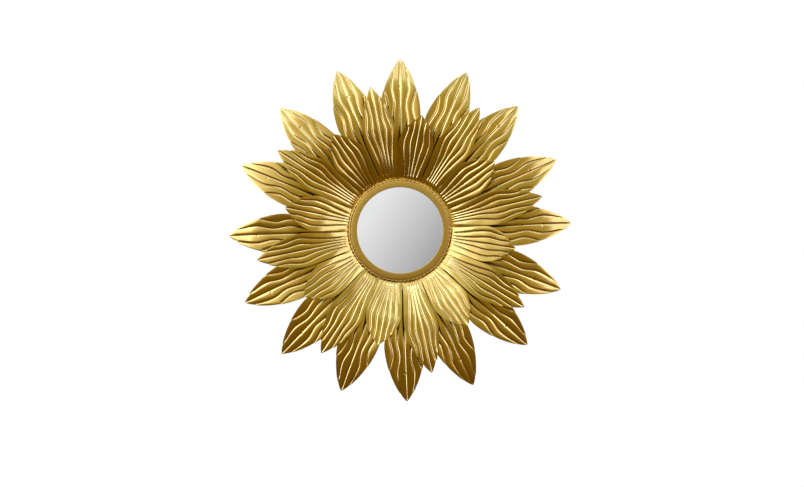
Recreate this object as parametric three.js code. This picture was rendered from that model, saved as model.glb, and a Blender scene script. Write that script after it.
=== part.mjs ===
import * as THREE from 'three';
import { mergeVertices } from 'three/addons/utils/BufferGeometryUtils.js';

// Wall mirror: a small round glass in a rope-edged frame ring, with three layers of pressed metal
// petals fanned around it. Sizes are millimetres. +Z is up, +X is to the right as seen from the
// front, and the wall is the plane y = 0. "Lift" is the distance in front of the wall, so a point
// with lift h has y = -h. "Radius" is measured from the axis of the glass.

// Fit between touching pieces
const seatGap = 0.3;

// Glass and frame ring
const sightRadius = 100.4;
const lipCover = 2.8;
const glassClearance = 0.6;
const glassThickness = 4;
const backingThickness = 4.2;
const backingClearance = 2.6;
const frameWidth = 14.6;
const lipThickness = 3.2;
const faceFall = 0.7;
const edgeBevel = 0.8;

// Twisted rope around the frame ring
const ropeThickness = 4.6;
const ropeTwists = 76;
const ropeDrop = 1.3;

// Plate, board and loop behind the petals
const boardInset = 18.4;
const boardThickness = 12;
const plateThickness = 3;
const plateInset = 1;
const loopBarWidth = 4.5;
const loopBarThickness = 4;
const loopHalfOpening = 9;
const loopLegHeight = 8;
const loopClearance = 0.8;

// Sheet of the petals
const sheetThickness = 1.5;
const grooveDepth = 0.9;
const grooveRunOut = 5;
const tabClearance = 0.4;
const bendInset = 0.5;
const bendStep = 1.6;
const cupRunIn = 0.2;
const swellPower = 1.5;

// Outer petals
const outerTipRadius = 400;
const outerRootHalfWidth = 21.5;
const outerBellyHalfWidth = 47.5;
const outerTabHalfWidth = 16;
const outerRootSlope = 20;
const outerTipSlope = -22;
const outerCup = 3.5;

// Long petals of the middle layer
const longTipRadius = 340;
const longRootHalfWidth = 22;
const longBellyHalfWidth = 39.3;
const longTabHalfWidth = 18;
const longRootSlope = 24;
const longTipSlope = -12;
const longCup = 3;

// Front petals
const frontTipRadius = 271;
const frontRootHalfWidth = 26.3;
const frontBellyHalfWidth = 41;
const frontTabHalfWidth = 21;
const frontRootSlope = 28;
const frontTipSlope = 6;
const frontCup = 3;

// Facets
const roundSegments = 48;
const loopSegments = 12;

// Radii that follow from the sizes above
const glassRadius = sightRadius + lipCover;
const rebateRadius = glassRadius + glassClearance;
const frameRadius = sightRadius + frameWidth;
const ropeCentreRadius = frameRadius + seatGap + ropeThickness / 2;
const frontBend = ropeCentreRadius + ropeThickness / 2 - bendInset;
const longBend = frontBend + bendStep;
const outerBend = longBend + bendStep;
const tabRadius = rebateRadius + tabClearance;
const plateRadius = frontBend - plateInset;
const boardRadius = plateRadius - boardInset;
const backingRadius = rebateRadius - backingClearance;

// Lifts that follow from the sizes above, from the wall to the crown of the ring
const plateBack = boardThickness + seatGap;
const plateFront = plateBack + plateThickness;
const outerTabBack = plateFront + seatGap;
const longTabBack = outerTabBack + sheetThickness + seatGap;
const frontTabBack = longTabBack + sheetThickness + seatGap;
const frameBack = frontTabBack + sheetThickness + seatGap;
const backingBack = plateFront + seatGap;
const glassBack = backingBack + backingThickness + seatGap;
const glassFront = glassBack + glassThickness;
const lipBack = glassFront + seatGap;
const crownLift = lipBack + lipThickness;
const ropeCentreLift = crownLift - faceFall - ropeDrop - ropeThickness / 2;

// Finishes
const petalGold = new THREE.MeshStandardMaterial({ color: 0xb48a2e, roughness: 0.3, metalness: 1 });
const ringGold = new THREE.MeshStandardMaterial({ color: 0xc0963c, roughness: 0.42, metalness: 1 });
const ropeGold = new THREE.MeshStandardMaterial({ color: 0xa47b2c, roughness: 0.4, metalness: 1 });
const silvered = new THREE.MeshStandardMaterial({ color: 0xdfe3e4, roughness: 0.04, metalness: 1 });
const darkBoard = new THREE.MeshStandardMaterial({ color: 0x2b2622, roughness: 0.85, metalness: 0 });
const darkSteel = new THREE.MeshStandardMaterial({ color: 0x4a3c24, roughness: 0.6, metalness: 0.8 });

// Each kind of petal. Along is the share of the way from the bend to the tip, across the share of
// the belly's half width. A vein runs from the bend and leaves the sheet through its edge at exit.
// Fullness and bluntness shape the sides and the tip; the rows between add to those at the belly
// and the exits.
const outerPetal = {
  name: 'outer_petal',
  tipRadius: outerTipRadius,
  rootHalfWidth: outerRootHalfWidth,
  bellyHalfWidth: outerBellyHalfWidth,
  tabHalfWidth: outerTabHalfWidth,
  tabBack: outerTabBack,
  bend: outerBend,
  rootSlope: outerRootSlope,
  tipSlope: outerTipSlope,
  cup: outerCup,
  belly: 0.535,
  fullness: 1.75,
  bluntness: 0.82,
  rowsBetween: [0.24, 0.85],
  nearVein: {
    exit: 0.935,
    path: [[0, 0.116], [0.236, 0.232], [0.473, 0.368], [0.625, 0.278], [0.764, 0.417]],
  },
  farVein: {
    exit: 0.738,
    path: [[0, 0.284], [0.236, 0.484], [0.473, 0.705], [0.6, 0.6]],
  },
  firstBearing: 90,
  leans: [-0.05, -0.35, 1.4, 1.85, 2.4, 2.3, 3, 2.8, 2.3, 2.3, 1.2, 2.5, 1.9, 0.4, -0.45, -0.9],
};

const longPetal = {
  name: 'long_petal',
  tipRadius: longTipRadius,
  rootHalfWidth: longRootHalfWidth,
  bellyHalfWidth: longBellyHalfWidth,
  tabHalfWidth: longTabHalfWidth,
  tabBack: longTabBack,
  bend: longBend,
  rootSlope: longRootSlope,
  tipSlope: longTipSlope,
  cup: longCup,
  belly: 0.488,
  fullness: 1.85,
  bluntness: 0.88,
  rowsBetween: [0.22, 0.65],
  nearVein: {
    exit: 0.889,
    path: [[0, 0.127], [0.185, 0.165], [0.347, 0.221], [0.519, 0.382], [0.671, 0.318]],
  },
  farVein: {
    exit: 0.806,
    path: [[0, 0.28], [0.185, 0.351], [0.347, 0.534], [0.519, 0.733], [0.694, 0.585]],
  },
  firstBearing: 101.25,
  leans: [0.4, 0.75, 2.1, 2, 1.3, 1.1, 0.5, 0.6],
};

const frontPetal = {
  name: 'front_petal',
  tipRadius: frontTipRadius,
  rootHalfWidth: frontRootHalfWidth,
  bellyHalfWidth: frontBellyHalfWidth,
  tabHalfWidth: frontTabHalfWidth,
  tabBack: frontTabBack,
  bend: frontBend,
  rootSlope: frontRootSlope,
  tipSlope: frontTipSlope,
  cup: frontCup,
  belly: 0.534,
  fullness: 1.72,
  bluntness: 0.82,
  rowsBetween: [0.26, 0.69],
  nearVein: {
    exit: 0.918,
    path: [[0, 0.134], [0.17, 0.178], [0.34, 0.244], [0.558, 0.351], [0.769, 0.293]],
  },
  farVein: {
    exit: 0.823,
    path: [[0, 0.305], [0.17, 0.427], [0.34, 0.58], [0.558, 0.702], [0.728, 0.61]],
  },
  firstBearing: 78.75,
  leans: [0.6, 2.15, 2.2, 1.85, 0.4, 0.95, 0.05, 1.2],
};

// A cubic through the points, where each tangent is the slope between the neighbours
function throughPoints(points, at) {
  const last = points.length - 1;
  const slope = (index) => {
    const before = points[Math.max(index - 1, 0)];
    const after = points[Math.min(index + 1, last)];
    return (after[1] - before[1]) / (after[0] - before[0]);
  };
  let start = 0;
  while (start < last - 1 && at > points[start + 1][0]) {
    start += 1;
  }
  const [x0, y0] = points[start];
  const [x1, y1] = points[start + 1];
  const span = x1 - x0;
  const t = (at - x0) / span;
  const rise = (2 * t ** 3 - 3 * t ** 2 + 1) * y0 + (3 * t ** 2 - 2 * t ** 3) * y1;
  const lean = (t ** 3 - 2 * t ** 2 + t) * slope(start) + (t ** 3 - t ** 2) * slope(start + 1);
  return rise + lean * span;
}

// Half the width of the sheet: it swells from the root to the belly and narrows to a point
function halfWidth(petal, along) {
  if (along < petal.belly) {
    const swell = 1 - (1 - (along / petal.belly) ** swellPower) ** swellPower;
    return petal.rootHalfWidth + (petal.bellyHalfWidth - petal.rootHalfWidth) * swell;
  }
  const past = (along - petal.belly) / (1 - petal.belly);
  return petal.bellyHalfWidth * (1 - past ** petal.fullness) ** petal.bluntness;
}

// Where a vein lies across the sheet: past its exit it has run into the edge
function veinAcross(petal, vein, along) {
  if (along >= vein.exit) {
    return halfWidth(petal, along);
  }
  const path = vein.path.map(([share, across]) => [share, across * petal.bellyHalfWidth]);
  path.push([vein.exit, halfWidth(petal, vein.exit)]);
  return Math.min(throughPoints(path, along), halfWidth(petal, along));
}

// Lift of the sheet's front along its midline: a circular arc from the root slope to the tip slope
function archLift(petal, radius) {
  const rootSine = Math.sin(THREE.MathUtils.degToRad(petal.rootSlope));
  const tipSine = Math.sin(THREE.MathUtils.degToRad(petal.tipSlope));
  const arcRadius = (petal.tipRadius - petal.bend) / (rootSine - tipSine);
  const sine = rootSine - Math.max(radius - petal.bend, 0) / arcRadius;
  const bow = arcRadius * (Math.sqrt(1 - sine ** 2) - Math.sqrt(1 - rootSine ** 2));
  return petal.tabBack + sheetThickness + bow;
}

// One point of the petal, which points up along +Z, sunk below the arch and raised at the sides
function petalPoint(petal, radius, across, sunk) {
  const along = (radius - petal.bend) / (petal.tipRadius - petal.bend);
  const cupShare = THREE.MathUtils.smoothstep(along, 0, cupRunIn);
  const cupLift = petal.cup * cupShare * (across / petal.bellyHalfWidth) ** 2;
  return new THREE.Vector3(across, -(archLift(petal, radius) + cupLift - sunk), radius);
}

// One row of the grooved front, from the left edge over the five veins to the right edge
function frontRow(petal, { along, radius, narrowing, halfSpan }) {
  const near = veinAcross(petal, petal.nearVein, along) * narrowing;
  const far = veinAcross(petal, petal.farVein, along) * narrowing;
  const groove = (across) => grooveDepth * Math.min(1, (halfSpan - across) / grooveRunOut);
  const bladeShare = THREE.MathUtils.smoothstep(along, 0, cupRunIn);
  const halfRow = [
    [near / 2, 0],
    [near, groove(near)],
    [(near + far) / 2, 0],
    [far, groove(far)],
    [halfSpan, 0],
  ];
  const mirrored = halfRow.map(([across, sunk]) => [-across, sunk]).reverse();
  const row = [...mirrored, [0, groove(0)], ...halfRow];
  return row.map(([across, sunk]) => petalPoint(petal, radius, across, sunk * bladeShare));
}

// One row of the plain back
function backRow(petal, { radius, halfSpan }) {
  return [-1, -0.5, 0, 0.5, 1].map((share) => {
    return petalPoint(petal, radius, share * halfSpan, sheetThickness);
  });
}

// Triangles between two lines of points that run the same way, facing the side where the upper
// line lies when the lower one runs to the right
function zip(lower, upper) {
  const triangles = [];
  let i = 0;
  let j = 0;
  while (i < lower.length - 1 || j < upper.length - 1) {
    const lowerShare = (i + 0.5) / (lower.length - 1);
    const upperShare = (j + 0.5) / (upper.length - 1);
    if (lowerShare <= upperShare) {
      triangles.push(lower[i], lower[i + 1], upper[j]);
      i += 1;
    } else {
      triangles.push(lower[i], upper[j + 1], upper[j]);
      j += 1;
    }
  }
  return triangles;
}

// A closed geometry from loose triangles: equal corners are joined and empty triangles dropped
function closedGeometry(corners) {
  const loose = new THREE.BufferGeometry().setFromPoints(corners);
  const merged = mergeVertices(loose, 1e-3);
  const index = merged.getIndex().array;
  const kept = [];
  for (let i = 0; i < index.length; i += 3) {
    const [a, b, c] = [index[i], index[i + 1], index[i + 2]];
    if (a !== b && b !== c && c !== a) {
      kept.push(a, b, c);
    }
  }
  merged.setIndex(kept);
  merged.computeVertexNormals();
  return merged;
}

// A pressed petal with its flat root tab, pointing up along +Z
function petalGeometry(petal) {
  const length = petal.tipRadius - petal.bend;
  const rows = [0, petal.belly, petal.farVein.exit, petal.nearVein.exit, 1, ...petal.rowsBetween];
  rows.sort((one, other) => one - other);
  const stations = rows.map((along) => {
    const radius = petal.bend + along * length;
    return { along, radius, narrowing: 1, halfSpan: halfWidth(petal, along) };
  });
  const narrowing = petal.tabHalfWidth / petal.rootHalfWidth;
  stations.unshift({ along: 0, radius: tabRadius, narrowing, halfSpan: petal.tabHalfWidth });
  const fronts = stations.map((station) => frontRow(petal, station));
  const backs = stations.map((station) => backRow(petal, station));
  const triangles = zip(backs[0], fronts[0]);
  for (let row = 0; row < stations.length - 1; row += 1) {
    triangles.push(...zip(fronts[row], fronts[row + 1]));
    triangles.push(...zip(backs[row + 1], backs[row]));
    const [front, frontNext] = [fronts[row], fronts[row + 1]];
    const [back, backNext] = [backs[row], backs[row + 1]];
    triangles.push(...zip([back[0], backNext[0]], [front[0], frontNext[0]]).reverse());
    triangles.push(...zip([back.at(-1), backNext.at(-1)], [front.at(-1), frontNext.at(-1)]));
  }
  return closedGeometry(triangles);
}

// A turned piece about the glass's axis, from a profile of radius and lift
function turned(profile) {
  const points = profile.map(([radius, lift]) => new THREE.Vector2(radius, lift));
  const geometry = new THREE.LatheGeometry(points, roundSegments);
  return geometry.rotateX(Math.PI);
}

// A flat round piece between two lifts
function disc(radius, back, front) {
  return turned([[0, back], [radius, back], [radius, front], [0, front]]);
}

// The frame ring: a rebate for the glass, a lip over its edge and a nearly flat face
function frameGeometry() {
  return turned([
    [rebateRadius, frameBack],
    [frameRadius, frameBack],
    [frameRadius, crownLift - faceFall - edgeBevel],
    [frameRadius - edgeBevel, crownLift - faceFall],
    [sightRadius + edgeBevel, crownLift],
    [sightRadius, crownLift - edgeBevel],
    [sightRadius, lipBack],
    [rebateRadius, lipBack],
    [rebateRadius, frameBack],
  ]);
}

// The rope: a square section that makes a quarter turn at each twist
function ropeGeometry() {
  const steps = ropeTwists * 2;
  const corner = (step, side) => {
    const turn = (side * Math.PI) / 2 + (step * Math.PI) / 4;
    const radius = ropeCentreRadius + (ropeThickness / 2) * Math.cos(turn);
    const lift = ropeCentreLift + (ropeThickness / 2) * Math.sin(turn);
    const bearing = (step / steps) * 2 * Math.PI;
    return new THREE.Vector3(radius * Math.cos(bearing), -lift, radius * Math.sin(bearing));
  };
  const triangles = [];
  for (let step = 0; step < steps; step += 1) {
    for (let side = 0; side < 4; side += 1) {
      const here = [corner(step, side), corner(step, side + 1)];
      const next = [corner(step + 1, side), corner(step + 1, side + 1)];
      triangles.push(...zip(next, here));
    }
  }
  return closedGeometry(triangles);
}

// The hanging loop: a flat bar bent to an arch, welded to the plate's back above the board
function loopGeometry() {
  const outerHalf = loopHalfOpening + loopBarWidth;
  const foot = boardRadius + loopClearance;
  const spring = foot + loopLegHeight;
  const arch = new THREE.Shape();
  arch.moveTo(outerHalf, foot);
  arch.absarc(0, spring, outerHalf, 0, Math.PI, false);
  arch.lineTo(-outerHalf, foot);
  arch.lineTo(-loopHalfOpening, foot);
  arch.absarc(0, spring, loopHalfOpening, Math.PI, 0, true);
  arch.lineTo(loopHalfOpening, foot);
  const extrusion = { depth: loopBarThickness, bevelEnabled: false, curveSegments: loopSegments };
  const bar = new THREE.ExtrudeGeometry(arch, extrusion);
  return bar.rotateX(Math.PI / 2).translate(0, -(boardThickness - loopBarThickness), 0);
}

const mirror = new THREE.Group();

function addPiece(name, geometry, material) {
  const piece = new THREE.Mesh(geometry, material);
  piece.name = name;
  mirror.add(piece);
  return piece;
}

// The petals of one layer, turned to their bearings clockwise from the top
function addPetals(petal) {
  const pitch = 360 / petal.leans.length;
  petal.leans.forEach((lean, index) => {
    const number = String(index + 1).padStart(2, '0');
    const piece = addPiece(`${petal.name}_${number}`, petalGeometry(petal), petalGold);
    const bearing = petal.firstBearing - index * pitch + lean;
    piece.rotation.y = THREE.MathUtils.degToRad(90 - bearing);
  });
}

addPiece('back_board', disc(boardRadius, 0, boardThickness), darkBoard);
addPiece('hanging_loop', loopGeometry(), darkSteel);
addPiece('petal_plate', disc(plateRadius, plateBack, plateFront), darkSteel);
addPetals(outerPetal);
addPetals(longPetal);
addPetals(frontPetal);
addPiece('mirror_backing', disc(backingRadius, backingBack, backingBack + backingThickness), darkBoard);
addPiece('mirror_glass', disc(glassRadius, glassBack, glassFront), silvered);
addPiece('frame_ring', frameGeometry(), ringGold);
addPiece('rope_trim', ropeGeometry(), ropeGold);

export default mirror;
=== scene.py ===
"""A round wall mirror in a rope-edged frame ring, fanned by three layers of pressed metal petals.

Lengths are metres. +Z is up, +X is to the right seen from the front, and the wall is the plane
y = 0. "Lift" is the distance in front of the wall, "radius" the distance from the glass's axis,
"along" the share of a petal's length from its root bend to its tip, and "across" the distance
from its midline.
"""

import logging
import math
from collections.abc import Sequence
from dataclasses import dataclass
from enum import Enum

import bmesh
import bpy
import numpy as np
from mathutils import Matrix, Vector


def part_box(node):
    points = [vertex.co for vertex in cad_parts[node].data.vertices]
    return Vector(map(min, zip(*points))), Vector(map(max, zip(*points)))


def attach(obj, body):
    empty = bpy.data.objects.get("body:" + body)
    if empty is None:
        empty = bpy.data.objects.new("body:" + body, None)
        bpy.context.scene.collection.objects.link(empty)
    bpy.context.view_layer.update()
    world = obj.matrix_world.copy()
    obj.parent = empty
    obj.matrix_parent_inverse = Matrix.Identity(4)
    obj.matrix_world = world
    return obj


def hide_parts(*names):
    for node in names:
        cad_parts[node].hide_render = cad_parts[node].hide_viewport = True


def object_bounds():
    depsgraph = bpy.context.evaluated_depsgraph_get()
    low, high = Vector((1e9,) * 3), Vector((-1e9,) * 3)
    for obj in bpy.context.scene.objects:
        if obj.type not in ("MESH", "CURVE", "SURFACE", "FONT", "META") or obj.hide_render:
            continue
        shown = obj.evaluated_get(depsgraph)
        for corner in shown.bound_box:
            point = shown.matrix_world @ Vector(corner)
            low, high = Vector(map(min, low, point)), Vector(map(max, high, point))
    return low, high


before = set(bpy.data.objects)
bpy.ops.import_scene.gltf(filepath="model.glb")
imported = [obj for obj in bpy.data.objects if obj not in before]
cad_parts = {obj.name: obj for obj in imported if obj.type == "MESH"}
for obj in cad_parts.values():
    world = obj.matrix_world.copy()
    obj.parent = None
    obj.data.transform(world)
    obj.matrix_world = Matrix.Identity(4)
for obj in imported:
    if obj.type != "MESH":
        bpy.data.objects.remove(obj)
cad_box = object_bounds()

log = logging.getLogger("wall_mirror")

MM = 0.001
BODY = "root"

# Widths of the frame ring's face and of its rebate
FRAME_WIDTH = 14.6 * MM
REBATE_WIDTH = 3.4 * MM

# Where the petals bend up from their tabs: the front layer beside the rope, the others further out
FRONT_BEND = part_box("rope_trim")[1].x - 0.5 * MM
BEND_STEP = 1.6 * MM
TAB_LENGTH = 15.0 * MM

# Lengths and shares that differ by less than this are the same
TOLERANCE = 1e-6


class Slot(Enum):
    """The record's material slots."""

    PETAL_GOLD = "petal_gold"
    RING_GOLD = "ring_gold"
    ROPE_GOLD = "rope_gold"
    GLASS = "glass"
    BOARD = "board"
    STEEL = "steel"


# Small helpers for meshes and numbers


def smooth_step(value: np.ndarray | float, low: float, high: float) -> np.ndarray | float:
    """Rises smoothly from 0 at low to 1 at high.

    Args:
        value: Where to read it.
        low: Where it leaves 0.
        high: Where it reaches 1.

    Returns:
        The share between 0 and 1.
    """
    share = np.clip((value - low) / (high - low), 0.0, 1.0)
    return share * share * (3.0 - 2.0 * share)


def through_points(points: Sequence[tuple[float, float]], at: np.ndarray) -> np.ndarray:
    """A cubic through the points, where each tangent is the slope between the neighbours.

    Args:
        points: Pairs of place and value, in rising order of place.
        at: The places to read.

    Returns:
        The values there.
    """
    place = np.array([point[0] for point in points])
    value = np.array([point[1] for point in points])
    ahead = np.minimum(np.arange(len(points)) + 1, len(points) - 1)
    behind = np.maximum(np.arange(len(points)) - 1, 0)
    slope = (value[ahead] - value[behind]) / (place[ahead] - place[behind])
    start = np.clip(np.searchsorted(place, at, side="right") - 1, 0, len(points) - 2)
    span = place[start + 1] - place[start]
    t = (at - place[start]) / span
    rise = (2 * t**3 - 3 * t**2 + 1) * value[start] + (3 * t**2 - 2 * t**3) * value[start + 1]
    lean = (t**3 - 2 * t**2 + t) * slope[start] + (t**3 - t**2) * slope[start + 1]
    return rise + lean * span


def new_piece(name: str, mesh: bpy.types.Mesh) -> bpy.types.Object:
    """Links a mesh to the scene as an object at the origin.

    Args:
        name: The object's name.
        mesh: Its mesh.

    Returns:
        The object.
    """
    piece = bpy.data.objects.new(name, mesh)
    bpy.context.scene.collection.objects.link(piece)
    return piece


def declare(piece: bpy.types.Object, slot: Slot, *nodes: str) -> None:
    """Says what a piece rides on and hides the CAD nodes that it stands for.

    Args:
        piece: The finished piece.
        slot: The material slot of its finish; not used.
        nodes: The CAD nodes that it replaces.
    """
    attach(piece, BODY)
    if nodes:
        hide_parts(*nodes)
    log.info("%s: %d faces", piece.name, len(piece.data.polygons))


def smooth_faces(mesh: bpy.types.Mesh, sharp_degrees: float) -> None:
    """Shades a mesh smooth but for the edges that turn by more than an angle.

    Args:
        mesh: The mesh.
        sharp_degrees: Edges that turn by more stay sharp.
    """
    mesh.polygons.foreach_set("use_smooth", [True] * len(mesh.polygons))
    mesh.set_sharp_from_angle(angle=math.radians(sharp_degrees))


def mark(mesh: bpy.types.Mesh, name: str, kind: str, values: np.ndarray) -> None:
    """Stores a value for each point of a mesh as a named attribute.

    Args:
        mesh: The mesh.
        name: The attribute's name.
        kind: FLOAT or FLOAT_VECTOR.
        values: The values.
    """
    stored = mesh.attributes.new(name, kind, "POINT")
    stored.data.foreach_set("value" if kind == "FLOAT" else "vector", values.ravel())


def turned_mesh(name: str, profile: Sequence[tuple[float, float]], segments: int) -> bpy.types.Mesh:
    """A mesh turned about the glass's axis.

    Args:
        name: The mesh's name.
        profile: Closed outline of radius and lift; points on the axis become poles.
        segments: Steps round the axis.

    Returns:
        The closed mesh, with its faces outwards.
    """
    shape = bmesh.new()
    rings = []
    for radius, lift in profile:
        if radius < TOLERANCE:
            rings.append([shape.verts.new((0.0, -lift, 0.0))] * segments)
            continue
        ring = []
        for step in range(segments):
            bearing = 2 * math.pi * step / segments
            ring.append(shape.verts.new((radius * math.cos(bearing), -lift, radius * math.sin(bearing))))
        rings.append(ring)
    for here, ahead in zip(rings, rings[1:] + rings[:1]):
        for step in range(segments):
            after = (step + 1) % segments
            corners = [here[step], here[after], ahead[after], ahead[step]]
            distinct = list(dict.fromkeys(corners))
            if len(distinct) > 2:
                shape.faces.new(distinct)
    bmesh.ops.recalc_face_normals(shape, faces=shape.faces)
    mesh = bpy.data.meshes.new(name)
    shape.to_mesh(mesh)
    shape.free()
    return mesh


# Node trees and finishes

# Types: a colour is linear red, green and blue, and a range its two ends
Socket = bpy.types.NodeSocket
Colour = tuple[float, float, float]
Range = tuple[float, float]

# What most of a noise pattern lies between
NOISE_SPAN = (0.3, 0.7)


class Bench:
    """Adds and links the nodes of one tree."""

    def __init__(self, tree: bpy.types.NodeTree) -> None:
        """Takes a tree.

        Args:
            tree: The tree that the nodes go into.
        """
        self.tree = tree

    def node(self, kind: str, **settings: object) -> bpy.types.Node:
        """Adds a node.

        Args:
            kind: The node's type name.
            settings: Properties to set on it.

        Returns:
            The node.
        """
        made = self.tree.nodes.new(kind)
        for key, value in settings.items():
            setattr(made, key, value)
        return made

    def link(self, source: Socket, target: Socket) -> None:
        """Links two sockets."""
        self.tree.links.new(source, target)

    def feed(self, source: Socket | float, target: Socket) -> None:
        """Links a socket to another, or sets a number on it.

        Args:
            source: A socket or a number.
            target: The socket that takes it.
        """
        if isinstance(source, bpy.types.NodeSocket):
            self.link(source, target)
        else:
            target.default_value = source

    def math(self, operation: str, first: Socket | float, second: Socket | float = 0.0) -> Socket:
        """One sum of two values, each a socket or a number.

        Args:
            operation: The name of the operation.
            first: The first value.
            second: The second value.

        Returns:
            The result.
        """
        made = self.node("ShaderNodeMath", operation=operation)
        self.feed(first, made.inputs[0])
        self.feed(second, made.inputs[1])
        return made.outputs[0]


class ShaderBench(Bench):
    """Adds the patterns and mixes that finishes and surroundings are made of."""

    def noise(self, vector: Socket, scale: float, detail: float) -> Socket:
        """A noise pattern.

        Args:
            vector: The coordinates it reads.
            scale: Its number of features a metre.
            detail: Its octaves.

        Returns:
            The pattern between 0 and 1.
        """
        made = self.node("ShaderNodeTexNoise")
        made.inputs["Scale"].default_value = scale
        made.inputs["Detail"].default_value = detail
        self.link(vector, made.inputs["Vector"])
        return made.outputs["Fac"]

    def ramp(self, value: Socket, source: Range, target: Range = (0.0, 1.0)) -> Socket:
        """Maps one range of a value to another, held at both ends.

        Args:
            value: The value.
            source: The range it is read over.
            target: What the two ends of that range become.

        Returns:
            The mapped value.
        """
        made = self.node("ShaderNodeMapRange")
        made.inputs["From Min"].default_value = source[0]
        made.inputs["From Max"].default_value = source[1]
        made.inputs["To Min"].default_value = target[0]
        made.inputs["To Max"].default_value = target[1]
        self.link(value, made.inputs["Value"])
        return made.outputs["Result"]

    def blend(self, share: Socket, first: Socket | Colour, second: Socket | Colour) -> Socket:
        """Mixes two colours, each a socket or its linear values.

        Args:
            share: 0 for the first and 1 for the second.
            first: The first colour.
            second: The second colour.

        Returns:
            The mixed colour.
        """
        made = self.node("ShaderNodeMix", data_type="RGBA")
        self.link(share, made.inputs["Factor"])
        for colour, place in ((first, 6), (second, 7)):
            if isinstance(colour, bpy.types.NodeSocket):
                self.link(colour, made.inputs[place])
            else:
                made.inputs[place].default_value = (*colour, 1.0)
        return made.outputs[2]


class FinishBench(ShaderBench):
    """Adds the nodes of one material, around its shader."""

    def __init__(self, name: str) -> None:
        """Makes the material with its shader and output.

        Args:
            name: The material's name.
        """
        self.material = bpy.data.materials.new(name)
        self.material.use_nodes = True
        super().__init__(self.material.node_tree)
        self.shader = self.tree.nodes["Principled BSDF"]

    def place(self) -> Socket:
        """Coordinates on the piece."""
        return self.node("ShaderNodeTexCoord").outputs["Object"]

    def attribute(self, name: str, output: str = "Fac") -> Socket:
        """Reads a mesh attribute.

        Args:
            name: The attribute's name.
            output: Fac for a number or Vector for a place.

        Returns:
            Its value.
        """
        return self.node("ShaderNodeAttribute", attribute_name=name).outputs[output]

    def bump(self, height: Socket, distance: float, strength: float, below: Socket | None = None) -> Socket:
        """A bump from a height pattern.

        Args:
            height: The pattern.
            distance: The height it stands for, in metres.
            strength: How much of it is used.
            below: The normal of a bump that it is laid over.

        Returns:
            The bumped normal.
        """
        made = self.node("ShaderNodeBump")
        made.inputs["Distance"].default_value = distance
        made.inputs["Strength"].default_value = strength
        self.link(height, made.inputs["Height"])
        if below is not None:
            self.link(below, made.inputs["Normal"])
        return made.outputs["Normal"]


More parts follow.
